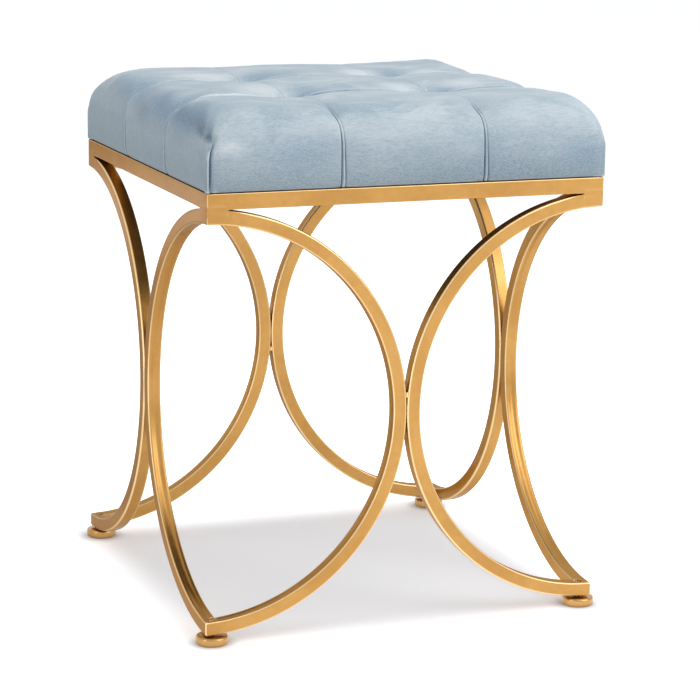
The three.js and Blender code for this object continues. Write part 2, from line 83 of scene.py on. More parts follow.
ROLL_HEIGHT = 39.5
ROLL_DEPTH = 27
BOARD_TOP = 440.8
COVER_THICKNESS = 6.4
CORNER_LOW = 2.2
CORNER_HIGHS = {"front_left": 30, "front_right": 30, "back_right": 15, "back_left": 48}
CROWN = 4
TUFT_DEPTH = 13
TUFT_EYE = 3  # further dip right at a tuft
PANEL_PUFF = 3.2
SIDE_PUFF = 2.4
TUCK = 2.6
CORNER_PUFF = 2.2
CORNER_BLEND = 16  # from a corner, over which the sides begin to bulge
PINCH_HEIGHT = 473  # end of the darts at the corners
SHOULDER_INSET = 20
NOTCH_LEFT, NOTCH_RIGHT, NOTCH_FRONT, NOTCH_BACK = 9, 6, 7, 0
SIDE_ROWS = 24
PANEL_WIDTH = 133  # by which the places of the cushion's lines are counted
TWINE_PITCH, TWINE_ROWS = 3.5, 60
STRAND_RADIUS, STRAND_SIDES = 0.4, 8
FOAM_TOP = 484.5
FOAM_ROLL = 22
FOAM_CORNER = 14

# Tufts and pleats as shares of half the seat, left to right in rows from front to back
TUFT_SHARES = np.array([
    [[-1, -1], [-0.345, -1], [0.37, -1], [1, -1]],
    [[-1, -0.357], [-0.375, -0.34], [0.365, -0.34], [1, -0.31]],
    [[-1, 0.3], [-0.375, 0.335], [0.35, 0.34], [1, 0.35]],
    [[-1, 1], [-0.35, 1], [0.36, 1], [1, 1]],
])

# Bend of an arc's middle line: a half ellipse in the plane of its side
H = ARC_TUBE / 2
REACH = HALF - 0.15 - H  # the backs of two arcs stay just apart
RISE = (ARC_TOP - ARC_BOTTOM) / 2 - H
MIDDLE = (ARC_TOP + ARC_BOTTOM) / 2

# Finer shape of the metal
ARC_EDGE = 2.1  # rounding of the tube's edges
LIP_EDGE = 1.7
RAIL_EDGE = 0.9
UPRIGHT_EDGE = 1.7  # rounding of the frame's upright corners
ARC_STEPS = 90
EDGE_TAPER = 26  # over which an edge beside a block gets its full rounding
FILLET_STEPS = 4
BESIDE_FILLET = 0.4  # flat beside a rounding that ends in a line of its own
DISH_DEPTH = 0.7  # the channel's walls slope softly to its floor
DISH_SLOPE = 4.0
DISH_STEPS = 6
MITRE_OFFSETS = (0, 0.45, 0.9, 1.35, 1.8)
SEAM_LINE = 0.3  # between a step and the next line
BLOCK_LINES = (BLOCK_LENGTH - SEAM_LINE, BLOCK_LENGTH)
FOOT_MITRE = ARC_TUBE + 2.5
RAIL_TAPERS = (0, SEAM_LINE, 1, 3, 6, 10, 15, 20, EDGE_TAPER)
WELD_BITE = 0.35  # how deep a bead reaches into either arc
WELD_ROWS, WELD_SIDES = 10, 16
DISC_SIDES, BUSH_SIDES, SCREW_SIDES = 72, 32, 40
THREAD_PITCH = 1.0
THREAD_DEPTH = 0.35
THREAD_SIDES, THREAD_ROWS = 24, 6
SCREW_BEVEL, SCREW_FLAT = 0.8, 2.4
SCREW_CROSS = (2.6, 0.55)  # half the length and width of each slot in a screw's head
CROSS_BOTTOM = (0.55, 0.7)  # share of them at its bottom

# Camera of the photograph
AZIMUTH = -21.282
ELEVATION = 11.196
ROLL = 0.787
CAMERA_AT = (-915.2, -2396.376, 781.861)
FOCAL_PIXELS = 2580.8
MIDDLE_ROW = 308  # row of the picture that the camera is level with
PICTURE = 700
SENSOR = 36

# Light in metres and watts: place, what it points at, width and height, power
LAMPS = [
    ("overhead", (0.1, 0.0, 3.2), (0, 0, 0.3), (0.3, 0.3), 22),
    ("front_right", (1.5, -1.8, 1.35), (0, 0, 0.3), (1.7, 1.3), 19),
    ("front_top", (0.75, -1.05, 2.05), (-0.1, -0.15, 0.15), (1.7, 1.5), 9.5),
    ("left_strip", (-2.2, -0.9, 0.6), (0, 0, 0.3), (0.35, 1.4), 6),
]
WORLD_LIGHT = 0.5
FLOOR_RADIUS = 9
FLOOR_GLOW = 0.225  # under the stool, where the lower glow paints a shadow over the real one
BESIDE_GLOW = 1.0
FAR_GLOW = 0.52
MIRRORED_UNDER = 0.54  # what the metal sees of the floor, under the stool
MIRRORED_GLOW = 0.12
MIRRORED_FRONT = 0.66
PAINTED_REFLECTIONS = [  # painted reflections, glowing patches of the floor that only the metal sees, in front and behind: centre, radii, strength
    ((-1300, -550, 0), (1000, 700, 500), 2.6),
    ((-1000, 2350, 0), (900, 900, 500), 1.7),
]
GROUND = (0.905, 0.92, 0.965)
CONTACT_SHADE = (0.1, 0.1, 0.1)
CONTACT_RADIUS = 30  # of the shade round each foot

# Colours of the gold paint and of the velvet's pile, and of painted shade and painted highlights on
# them
DARK_GOLD, LIGHT_GOLD = (0.42, 0.215, 0.052), (0.49, 0.262, 0.070)
GROOVE_SHADE_GOLD, EDGE_HIGHLIGHT_GOLD = (0.20, 0.085, 0.018), (1.0, 0.76, 0.42)
DARK_PILE, LIGHT_PILE = (0.315, 0.40, 0.465), (0.435, 0.515, 0.565)
SIDE_SHADE_PILE, LOW_SHADE_PILE = (0.27, 0.34, 0.385), (0.25, 0.318, 0.362)
DARK_STROKE, LIGHT_STROKE = (0.17, 0.28, 0.37), (0.58, 0.64, 0.67)

SIDES = {"front": ("left", "right"), "back": ("left", "right"),
         "left": ("front", "back"), "right": ("front", "back")}
CORNERS = {"front_left": (-1, -1), "front_right": (1, -1),
           "back_right": (1, 1), "back_left": (-1, 1)}


# Materials

class Tree:
    """A node tree, with short calls for nodes that all looks share."""

    def __init__(self, tree):
        self.tree = tree

    def add(self, kind, inputs=None, **values):
        """A node with its settings, and its inputs set or linked."""
        made = self.tree.nodes.new(kind)
        for key, value in values.items():
            setattr(made, key, value)
        for key, value in (inputs or {}).items():
            self.feed(value, made.inputs[key])
        return made

    def feed(self, value, socket):
        """Sets a socket to a number, a vector or a colour, or links a node's output to it."""
        if isinstance(value, bpy.types.NodeSocket):
            self.tree.links.new(value, socket)
        else:
            socket.default_value = (*value, 1) if socket.type == "RGBA" else value

    def span(self, value, low, high, to_low=0.0, to_high=1.0):
        """Goes smoothly from one number to another while the value goes from low to high."""
        inputs = {"Value": value, "From Min": low, "From Max": high,
                  "To Min": to_low, "To Max": to_high}
        made = self.add("ShaderNodeMapRange", inputs, interpolation_type="SMOOTHSTEP")
        return made.outputs["Result"]

    def maths(self, kind, a, b=0):
        return self.add("ShaderNodeMath", {0: a, 1: b}, operation=kind).outputs["Value"]

    def times(self, *values):
        return reduce(lambda a, b: self.maths("MULTIPLY", a, b), values)

    def plus(self, *values):
        return reduce(lambda a, b: self.maths("ADD", a, b), values)

    def minus(self, a, b):
        return self.maths("SUBTRACT", a, b)

    def size(self, value):
        return self.maths("ABSOLUTE", value)

    def most(self, a, b):
        return self.maths("MAXIMUM", a, b)

    def rays(self):
        """1 for the camera's own rays, and 1 for those that metal and glass send on."""
        path = self.add("ShaderNodeLightPath").outputs
        return path["Is Camera Ray"], self.most(path["Is Glossy Ray"], path["Is Transmission Ray"])


class Nodes(Tree):
    """A material and its node tree."""

    def __init__(self, name):
        self.material = bpy.data.materials.new(name)
        self.material.use_nodes = True
        super().__init__(self.material.node_tree)
        self.shader = self.tree.nodes["Principled BSDF"]
        self.output = self.tree.nodes["Material Output"]
        self.place = self.add("ShaderNodeTexCoord").outputs["Object"]

    def set(self, **values):
        for key, value in values.items():
            self.shader.inputs[key.replace("_", " ")].default_value = value

    def part(self, axis="Z"):
        """One coordinate of a point of the object, in metres."""
        return self.add("ShaderNodeSeparateXYZ", {0: self.place}).outputs[axis]

    def bend(self):
        """How the surface bends: under 0.5 in a groove and over 0.5 on an edge."""
        return self.add("ShaderNodeNewGeometry").outputs["Pointiness"]

    def stretched(self, scale):
        inputs = {"Scale": scale, "Vector": self.place}
        return self.add("ShaderNodeMapping", inputs).outputs["Vector"]

    def noise(self, scale, detail=2, rough=0.5, distortion=0, vector=None):
        inputs = {"Scale": scale, "Detail": detail, "Roughness": rough,
                  "Distortion": distortion, "Vector": vector or self.place}
        return self.add("ShaderNodeTexNoise", inputs).outputs["Fac"]

    def cells(self, scale):
        """Distance from the middle of a cell, for small dimples or pores."""
        inputs = {"Scale": scale, "Vector": self.place}
        return self.add("ShaderNodeTexVoronoi", inputs).outputs["Distance"]

    def mix(self, factor, a, b):
        inputs = {"Factor": factor, "A": a, "B": b}
        return self.add("ShaderNodeMix", inputs, data_type="RGBA").outputs["Result"]

    def length(self, vector):
        return self.add("ShaderNodeVectorMath", {0: vector}, operation="LENGTH").outputs["Value"]

    def blob(self, centre, radii):
        """1 at a point of the object, in millimetres, and 0 beyond the radii about it."""
        inputs = {"Location": [c * MM for c in centre], "Scale": [r * MM for r in radii],
                  "Vector": self.place}
        mapping = self.add("ShaderNodeMapping", inputs, vector_type="TEXTURE")
        return self.span(self.length(mapping.outputs["Vector"]), 1, 0)

    def colour(self, factor, a, b):
        self.feed(self.mix(factor, a, b), self.shader.inputs["Base Color"])

    def roughness(self, value, low, high):
        """Goes from low to high with the middle part of a noise's value."""
        self.feed(self.span(value, 0.3, 0.7, low, high), self.shader.inputs["Roughness"])

    def bump(self, *layers):
        """Layers of height, each with its distance in millimetres, one on the other."""
        normal = {}
        for height, distance in layers:
            inputs = {"Distance": distance * MM, "Height": height, **normal}
            normal = {"Normal": self.add("ShaderNodeBump", inputs).outputs["Normal"]}
        self.feed(normal["Normal"], self.shader.inputs["Normal"])


def gold_paint():
    """Gold paint with cloudy wear, with painted shade in its grooves and a painted highlight along
    its edges.
    """
    made = Nodes("gold_paint")
    made.set(Metallic=0.94, Coat_Weight=0.3, Coat_Roughness=0.12, Specular_IOR_Level=0.5,
             Specular_Tint=(0.5, 0.36, 0.24, 1))
    cloud = made.noise(17, 3, 0.5)
    mottle = made.noise(130, 2, 0.4)
    worn = made.span(made.plus(made.times(cloud, 0.75), made.times(mottle, 0.25)), 0.36, 0.64)
    paint = made.mix(worn, DARK_GOLD, LIGHT_GOLD)
    bend = made.bend()
    # Painted shade: the paint darkens in grooves, less so low down
    groove = made.times(made.span(bend, 0.472, 0.494, 0.75, 0),
                        made.span(made.part(), 0.10, 0.24, 0.1, 1))
    paint = made.mix(groove, paint, GROOVE_SHADE_GOLD)
    # Painted highlight along the edges. It is left out at the seam's height and at the blocks where
    # arc and rail are welded and ground flush, and it is weaker along the uprights.
    edge = made.span(bend, 0.516, 0.54)
    from_seam = made.size(made.minus(made.part(), ARC_TOP * MM))
    edge = made.times(edge, made.span(from_seam, 0.0015, 0.004))
    for sx, sy in CORNERS.values():
        upright = made.times(made.blob((sx * HALF, sy * HALF, ARC_TOP), (9, 9, 60)), 0.75)
        block = made.blob((sx * HALF, sy * HALF, ARC_TOP - 5), (36, 36, 10))
        edge = made.times(edge, made.minus(1, made.most(upright, block)))
    made.colour(edge, paint, EDGE_HIGHLIGHT_GOLD)
    made.roughness(mottle, 0.31, 0.34)
    made.bump((mottle, 0.002))
    return made.material


def polished_gold():
    made = Nodes("polished_gold")
    made.set(Metallic=1.0, Coat_Weight=0.3, Coat_Roughness=0.1)
    streaks = made.noise(90, 3, 0.6, vector=made.stretched((1, 1, 12)))
    made.colour(streaks, (0.38, 0.20, 0.055), (0.58, 0.34, 0.125))
    made.roughness(streaks, 0.2, 0.34)
    made.bump((made.noise(260, 3), 0.03))
    return made.material


def zinc():
    made = Nodes("zinc_plate")
    made.set(Metallic=1.0)
    spots = made.noise(900, 3)
    made.colour(spots, (0.42, 0.41, 0.38), (0.62, 0.61, 0.57))
    made.roughness(spots, 0.25, 0.45)
    made.bump((spots, 0.01))
    return made.material


def velvet():
    """Blue velvet whose pile was brushed to and fro, with painted shade at the sides, low down, in
    creases and at a dart, and painted highlights on crests and in patches.
    """
    made = Nodes("velvet")
    made.set(Metallic=0.0, Specular_IOR_Level=0.15, Sheen_Weight=0.32, Sheen_Roughness=0.4,
             Sheen_Tint=(0.88, 0.94, 1.0, 1))
    normal = made.add("ShaderNodeTexCoord").outputs["Normal"]
    facing = made.add("ShaderNodeSeparateXYZ", {0: normal})
    beside = made.span(made.size(facing.outputs["X"]), 0.55, 0.85)

    def threads(scale, ratio, detail):
        """Noise drawn out along the cloth's threads, which hang down at the left and right."""
        across = made.noise(scale, detail, 0.65, 0, made.stretched((ratio, 1, 1)))
        down = made.noise(scale, detail, 0.65, 0, made.stretched((1, 1, ratio)))
        return made.plus(made.times(across, made.minus(1, beside)), made.times(down, beside))

    brushed = made.noise(15, 3, 0.5, 0.6)
    streaks = threads(800, 0.16, 2)
    fibres = threads(1300, 0.35, 1)
    marks = threads(190, 0.3, 2)
    nap = made.plus(made.times(brushed, 0.5), made.times(marks, 0.28), made.times(streaks, 0.22))
    nap = made.span(nap, 0.36, 0.64)
    pile = made.mix(nap, DARK_PILE, LIGHT_PILE)
    # Painted shade: darker on the sides and low down
    pile = made.mix(made.times(beside, 0.4), pile, SIDE_SHADE_PILE)
    pile = made.mix(made.span(made.part(), 0.429, 0.468, 1, 0), pile, LOW_SHADE_PILE)
    on_top = made.span(made.part(), 0.482, 0.494)
    swirl = made.noise(21, 2, 0.45, 1.2, made.stretched((0.7, 1.15, 1)))
    light_strokes = made.times(made.span(swirl, 0.52, 0.64, 0, 0.42), on_top)
    dark_strokes = made.times(made.span(swirl, 0.36, 0.47, 0.30, 0), on_top)
    pile = made.mix(light_strokes, pile, LIGHT_STROKE)
    pile = made.mix(dark_strokes, pile, DARK_STROKE)
    # Painted shade and painted highlights in patches
    for colour, patches in SHADE_AND_HIGHLIGHT_PATCHES:
        for centre, radii, strength in patches:
            pile = made.mix(made.times(made.blob(centre, radii), strength), pile, colour)
    pile = made.mix(dart_shade(made), pile, (0.010, 0.065, 0.14))
    pile = made.mix(made.span(fibres, 0.3, 0.7, 0, 0.3), pile, (0.62, 0.69, 0.73))
    bend = made.bend()
    # Painted shade in creases and painted highlight on crests, from the pointiness of the mesh
    pile = made.mix(made.span(bend, 0.455, 0.49, 0.7, 0), pile, (0.085, 0.15, 0.215))
    pile = made.mix(made.span(bend, 0.512, 0.545, 0, 0.45), pile, (0.70, 0.76, 0.80))
    made.colour(made.span(streaks, 0.3, 0.55, 0.16, 0), pile, (0.16, 0.25, 0.32))
    made.feed(made.span(nap, 0, 1, 0.7, 0.85), made.shader.inputs["Roughness"])
    made.bump((streaks, 0.12), (fibres, 0.1))
    return made.material


def dart_shade(made):
    """Shade left of the dart at the front left corner: sharp at the dart, soft beyond it."""
    beside = made.minus(made.part("Y"), made.part("X"))
    height = made.minus(made.part(), made.times(beside, 0.24))
    sharp = made.span(beside, -0.0025, 0.0015)
    soft = made.span(beside, 0.006, 0.060, 1, 0)
    low = made.span(height, 0.470, 0.478)
    high = made.span(height, 0.476, 0.497, 1, 0)
    front = made.span(made.part("X"), -0.193, -0.181, 1, 0)
    return made.times(sharp, soft, low, high, front, 0.88)


# Painted shade and painted highlights in patches, partly where the pile was brushed one way or the
# other, with shade at the dart and highlights beside the tufts and along a fold: colour, then
# centre, radii and strength
SHADE_AND_HIGHLIGHT_PATCHES = [
    ((0.12, 0.235, 0.36), [
        ((-186, 62, 496), (46, 90, 30), 0.65), ((-196, -40, 492), (44, 90, 32), 0.75),
        ((-198, -120, 488), (38, 80, 30), 0.8), ((-149, -23, 502), (34, 44, 20), 0.35),
        ((-188, -150, 496), (34, 60, 20), 0.6), ((-166, -150, 503), (46, 50, 20), 0.35),
        ((-50, -58, 498), (34, 36, 20), 0.75), ((-46, 84, 498), (60, 44, 22), 0.7),
        ((100, 84, 498), (40, 40, 20), 0.65), ((92, -68, 498), (26, 34, 20), 0.7),
        ((-120, -204, 462), (60, 30, 24), 0.2), ((178, -204, 452), (40, 30, 24), 0.4),
    ]),
    ((0.065, 0.135, 0.215), [
        ((-196, -98, 491), (22, 44, 17), 0.7), ((-198, -142, 487), (22, 40, 15), 0.6),
        ((-198, -172, 484), (16, 26, 11), 0.6), ((-196.4, -200, 450), (1.6, 5, 30), 0.85),
        ((-196, -198, 468), (3, 6, 10), 0.8), ((-197, 4, 478), (16, 34, 18), 0.45),
        ((91, -202, 440), (130, 20, 26), 0.25),
    ]),
    ((0.72, 0.765, 0.80), [
        ((-136, -69.4, 503), (56, 3.6, 14), 0.95), ((-185, -71.2, 496), (26, 2.6, 13), 0.7),
        ((-92, -40, 500), (42, 42, 22), 0.75), ((-104, 92, 501), (54, 50, 22), 0.75),
        ((44, -50, 500), (38, 34, 20), 0.7), ((58, 90, 500), (34, 40, 20), 0.8),
        ((124, 82, 504), (36, 36, 22), 0.4), ((122, -42, 502), (36, 36, 20), 0.65),
        ((2, -6, 502), (50, 40, 20), 0.3), ((112, -150, 500), (70, 50, 22), 0.25),
        ((110, -196, 490), (80, 26, 24), 0.3), ((-180, -203, 470), (26, 16, 12), 0.6),
        ((168, -196, 486), (60, 30, 26), 0.15), ((-10, -200, 484), (90, 20, 26), 0.3),
        ((-90, -198, 488), (60, 20, 22), 0.3),
    ]),
]


def foam():
    made = Nodes("open_cell_foam")
    made.set(Specular_IOR_Level=0.2)
    pores = made.cells(900)
    made.colour(pores, (0.55, 0.47, 0.26), (0.82, 0.76, 0.52))
    made.roughness(made.noise(400), 0.85, 0.97)
    made.bump((pores, 0.4))
    return made.material


def plywood():
    made = Nodes("plywood")
    grain = made.noise(60, 5, 0.6, 0.4, made.stretched((0.12, 1, 1)))
    plies = made.add("ShaderNodeTexWave", {"Scale": 130, "Vector": made.place},
                     wave_type="BANDS", bands_direction="Z")
    shade = made.plus(made.times(grain, 0.7), made.times(plies.outputs["Fac"], 0.3))
    made.colour(shade, (0.30, 0.19, 0.10), (0.68, 0.50, 0.31))
    made.roughness(grain, 0.6, 0.8)
    made.bump((grain, 0.1))
    return made.material


def black_cloth():
    made = Nodes("nonwoven_cloth")
    made.set(Specular_IOR_Level=0.2)
    threads = made.noise(700, 4, 0.75)
    made.colour(threads, (0.022, 0.022, 0.024), (0.062, 0.060, 0.064))
    made.roughness(threads, 0.8, 0.95)
    made.bump((made.cells(420), 0.15), (threads, 0.1))
    return made.material


def twine():
    made = Nodes("waxed_twine")
    fibres = made.noise(2500, 3)
    made.colour(fibres, (0.42, 0.37, 0.28), (0.68, 0.63, 0.52))
    made.roughness(fibres, 0.6, 0.85)
    made.bump((fibres, 0.1))
    return made.material


def pale_floor():
    """White floor that keeps the shadow, and that the camera and the metal see glow. Under the
    stool the camera sees less glow in a square, a painted shadow over the real one, while the metal
    sees more glow there, toward the front and in glowing patches, which are painted reflections. At
    the feet the glow fades and the floor's colour darkens, a painted contact shadow."""
    made = Nodes("pale_floor")
    made.set(Roughness=0.9, Specular_IOR_Level=0.1)
    direct, mirrored = made.rays()
    distance = made.length(made.place)
    from_middle = made.most(made.size(made.part("X")), made.size(made.part("Y")))
    # Painted shadow: the camera sees less glow in a square under the stool
    seen = made.plus(made.span(from_middle, 0.165, 0.265, FLOOR_GLOW, BESIDE_GLOW),
                     made.span(distance, 0.8, 3.0, 0, FAR_GLOW - BESIDE_GLOW))
    # Painted reflections: the metal sees more glow under the stool and toward the front
    to_front = made.minus(made.times(made.part("X"), 0.35), made.part("Y"))
    reflected = made.plus(made.span(distance, 0.25, 0.45, MIRRORED_UNDER, MIRRORED_GLOW),
                          made.span(to_front, -0.3, 0.9, 0, MIRRORED_FRONT))
    # Painted reflections: glowing patches of the floor that only the metal sees
    for centre, radii, strength in PAINTED_REFLECTIONS:
        reflected = made.plus(reflected, made.times(made.blob(centre, radii), strength))
    strength = made.plus(made.times(direct, seen), made.times(mirrored, reflected))
    ground = GROUND
    # Painted contact shadow round each foot: less glow and a darker floor colour
    for sx, sy in CORNERS.values():
        foot = made.blob((sx * FOOT, sy * FOOT, 0), (CONTACT_RADIUS,) * 3)
        strength = made.times(strength, made.minus(1, foot))
        ground = made.mix(made.times(foot, 0.85), ground, CONTACT_SHADE)
    made.feed(ground, made.shader.inputs["Base Color"])
    glow = made.add("ShaderNodeEmission", {"Color": (1, 1, 1), "Strength": strength})
    both = made.add("ShaderNodeAddShader", {0: made.shader.outputs[0], 1: glow.outputs[0]})
    made.feed(both.outputs[0], made.output.inputs["Surface"])
    return made.material


POLISHED = polished_gold()
FINISHES = {"gold_frame": gold_paint(), "zinc": zinc(), "plywood": plywood(), "velvet": velvet(),
            "foam": foam(), "dust_cloth": black_cloth(), "twine": twine()}


# Pieces

def new_object(name, data):
    made = bpy.data.objects.new(name, data)
    bpy.context.scene.collection.objects.link(made)
    return made


def mesh_object(name, shape, weld=False):
    """An object with a closed mesh, from points in millimetres and faces."""
    points, faces = shape
    mesh = bpy.data.meshes.new(name)
    mesh.from_pydata([(x * MM, y * MM, z * MM) for x, y, z in points], [], faces)
    work = bmesh.new()
    work.from_mesh(mesh)
    if weld:
        bmesh.ops.remove_doubles(work, verts=work.verts, dist=0.01 * MM)
        bmesh.ops.dissolve_degenerate(work, edges=work.edges, dist=0.005 * MM)
    bmesh.ops.recalc_face_normals(work, faces=work.faces)
    work.to_mesh(mesh)
    work.free()
    return new_object(name, mesh)


def piece(name, shape, slot, replaced, sharp=40, body="frame", material=None):
    """A smooth piece that rides on a body and stands for a solid, with sharp edges kept."""
    made = mesh_object(name, shape, weld=True)
    mesh = made.data
    mesh.polygons.foreach_set("use_smooth", [True] * len(mesh.polygons))
    mesh.set_sharp_from_angle(angle=math.radians(sharp))
    mesh.materials.append(material or FINISHES[slot])
    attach(made, body)
    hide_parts(replaced)
    return made


def band(above, below):
    """Faces between two closed rows of points."""
    n = len(above)
    return [(above[k], above[(k + 1) % n], below[(k + 1) % n], below[k]) for k in range(n)]


def tube(rings):
    """Points and faces of a closed tube through rings of as many points each."""
    count = len(rings[0])
    rows = [range(start, start + count) for start in range(0, len(rings) * count, count)]
    faces = [face for pair in zip(rows, rows[1:]) for face in band(*pair)]
    faces += [tuple(reversed(rows[0])), tuple(rows[-1])]
    return [point for ring in rings for point in ring], faces


def turns(count):
    """Angles all round a circle."""
    return [2 * math.pi * k / count for k in range(count)]


def polar(centre, radius, turn):
    return centre[0] + radius * math.cos(turn), centre[1] + radius * math.sin(turn)


def lathe(profile, sides, centre=(0, 0)):
    """Turned piece from pairs of radius and height, which start and end on the axis."""
    return tube([[(*polar(centre, radius, turn), height) for turn in turns(sides)]
                 for radius, height in profile])


def fillet(centre, radius, start, end, steps=FILLET_STEPS):
    """Points of an arc about a centre, between two angles in degrees."""
    return [polar(centre, radius, math.radians(start + (end - start) * k / steps))
            for k in range(steps + 1)]


def cut_out(obj, shape):
    """Cuts a closed shape out of the piece."""
    tool = mesh_object("cutter", shape)
    modifier = obj.modifiers.new("cut", "BOOLEAN")
    modifier.operation = "DIFFERENCE"
    modifier.solver = "EXACT"
    modifier.object = tool
    bpy.context.view_layer.update()
    mesh = bpy.data.meshes.new_from_object(obj.evaluated_get(bpy.context.evaluated_depsgraph_get()))
    obj.modifiers.clear()
    old, obj.data = obj.data, mesh
    spare = tool.data
    bpy.data.objects.remove(tool)
    for unused in (old, spare):
        bpy.data.meshes.remove(unused)


# Frame of bent tube

def side_point(side, end, along, depth, z):
    """A point on one side: along runs from a corner inwards, depth from the outer face inwards."""
    return {
        "front": (end * (HALF - along), depth - HALF, z),
        "back": (end * (HALF - along), HALF - depth, z),
        "left": (depth - HALF, end * (HALF - along), z),
        "right": (HALF - depth, end * (HALF - along), z),
    }[side]


def round_upright(point):
    """Pulls a point near an upright corner in, so that the corner gets round."""
    x, y = round_corners(point[0], point[1], HALF, UPRIGHT_EDGE)
    return float(x), float(y), point[2]


def arc_at(angle, u):
    """How far a point of the bend is along its side, and its height. u points out of the bend."""
    c, s = math.cos(angle), math.sin(angle)
    norm = math.hypot(RISE * c, REACH * s)
    return REACH * c + u * RISE * c / norm, MIDDLE + RISE * s + u * REACH * s / norm


def angle_for(along, u):
    """Angle of the bend at which a point is so far along its side."""
    angle = math.pi / 2
    for _ in range(6):
        norm = math.hypot(RISE * math.cos(angle), REACH * math.sin(angle))
        angle = math.acos(along / (REACH + u * RISE / norm))
    return angle


def smoothstep(share):
    """Goes smoothly from 0 to 1, and stays there beyond."""
    share = np.clip(share, 0, 1)
    return share * share * (3 - 2 * share)


def edge_growth(along):
    """Share of an edge's rounding that is there, which grows from nothing beyond the block."""
    return 0.1 + 0.9 * smoothstep((along - BLOCK_LENGTH) / EDGE_TAPER)


def arc_section(edge):
    """Closed loop of the tube's outside: the drawn-in wall between its lips is at low u."""
    lip, flat = LIP_EDGE, BESIDE_FILLET
    loop = [(H, -H + edge + flat), (H, H - edge - flat)]
    loop += fillet((H - edge, H - edge), edge, 0, 90)
    loop += [(H - edge - flat, H), (-H + lip + flat, H)]
    loop += fillet((-H + lip, H - lip), lip, 90, 180)
    start, end = H - LIP_WIDTH, H - LIP_WIDTH - DISH_SLOPE
    shares = [k / DISH_STEPS for k in range(DISH_STEPS + 1)]
    channel = [(-H + DISH_DEPTH * smoothstep(s), start + (end - start) * s) for s in shares]
    loop += channel
    loop += [(u, -v) for u, v in reversed(channel)]
    loop += fillet((-H + lip, -H + lip), lip, 180, 270)
    loop += [(-H + lip + flat, -H), (H - edge - flat, -H)]
    loop += fillet((H - edge, -H + edge), edge, 270, 360)
    return loop


def arc_rings(side, end):
    """Rings of an arc, from its mitre at the top corner to its mitre at the foot."""

    def ring(angle_of, edge):
        points = []
        for u, v in arc_section(edge):
            depth = H + v
            along, z = arc_at(angle_of(u, depth), u)
            if edge == 0 and u > H - 0.01:
                z = ARC_TOP
            points.append(round_upright(side_point(side, end, along, depth, z)))
        return points

    rings = [ring(lambda u, depth, o=o: angle_for(depth + o, u), 0) for o in MITRE_OFFSETS]
    rings += [ring(lambda u, depth, a=a: angle_for(a, 0), 0) for a in BLOCK_LINES]
    block_end = BLOCK_LENGTH + BLOCK_STEP
    rings.append(ring(lambda u, depth: angle_for(block_end, 0), ARC_EDGE * edge_growth(0)))
    first = angle_for(block_end + SEAM_LINE, 0)
    last = -angle_for(FOOT_MITRE, 0)
    for k in range(ARC_STEPS + 1):
        angle = first + (last - first) * k / ARC_STEPS
        along = arc_at(angle, 0)[0] if angle > 0 else 2 * BLOCK_LENGTH + EDGE_TAPER
        rings.append(ring(lambda u, depth, a=angle: a, ARC_EDGE * edge_growth(along)))
    rings += [ring(lambda u, depth, o=o: -angle_for(depth + o, u), ARC_EDGE)
              for o in reversed(MITRE_OFFSETS)]
    return rings


def make_arcs():
    for side, ends in SIDES.items():
        for end_name, end in zip(ends, (-1, 1)):
            name = f"arc_{side}_{end_name}"
            made = piece(f"bent_{name}", tube(arc_rings(side, end)), "gold_frame", name)
            x, y, _ = side_point(side, end, FOOT_INSET, FOOT_INSET, 0)
            low, high = ARC_BOTTOM - 2, ARC_BOTTOM + 20
            bore = [(0, low), (BUSH_RADIUS, low), (BUSH_RADIUS, high), (0, high)]
            cut_out(made, lathe(bore, BUSH_SIDES, (x, y)))


def rail_ring(side, end, along_of, lower):
    """Ring of a rail. Its lower edges are rounded by the share that lower gives."""
    t, edge, under, flat = RAIL_TUBE, RAIL_EDGE, RAIL_EDGE * lower, BESIDE_FILLET
    loop = fillet((t - edge, t - edge), edge, 0, 90) + [(t - edge - flat, t), (edge + flat, t)]
    loop += fillet((edge, t - edge), edge, 90, 180) + [(0, t - edge - flat), (0, under + flat)]
    loop += fillet((under, under), under, 180, 270) + [(under + flat, 0), (t - under - flat, 0)]
    loop += fillet((t - under, under), under, 270, 360) + [(t, under + flat), (t, t - edge - flat)]
    return [round_upright(side_point(side, end, along_of(depth), depth, ARC_TOP + up))
            for depth, up in loop]


def make_rails():
    for side in SIDES:
        rings = []
        for end, order in ((-1, 1), (1, -1)):
            half = [rail_ring(side, end, lambda depth, o=o: depth + o, 0) for o in MITRE_OFFSETS]
            half += [rail_ring(side, end, lambda depth, a=a: a, 0) for a in BLOCK_LINES]
            for taper in RAIL_TAPERS:
                along = BLOCK_LENGTH + BLOCK_STEP + taper
                half.append(rail_ring(side, end, lambda depth, a=along: a, edge_growth(along)))
            rings += half[::order]
        piece(f"top_rail_{side}", tube(rings), "gold_frame", f"rail_{side}")


def make_welds():
    """Beads that bridge the narrow gap between the backs of two arcs."""
    for side, rise in WELD_RISES.items():
        rings = []
        for k in range(WELD_ROWS + 1):
            share = 2 * k / WELD_ROWS - 1
            height = rise + share * WELD_HEIGHT / 2
            angle = math.asin(max(-1, min(1, height / (RISE + H))))
            gap = HALF - arc_at(angle, H)[0] + WELD_BITE
            bulge = math.sqrt(max(0.02, 1 - share * share))
            ring = []
            for turn in turns(WELD_SIDES):
                across = HALF + gap * bulge * math.cos(turn)
                square = math.copysign(abs(math.sin(turn)) ** 0.35, math.sin(turn))
                depth = H + (H + 0.25) * square * bulge ** 0.3
                ring.append(side_point(side, 1, across, depth, MIDDLE + height))
            rings.append(ring)
        piece(f"weld_bead_{side}", tube(rings), "gold_frame", f"weld_{side}", sharp=35)


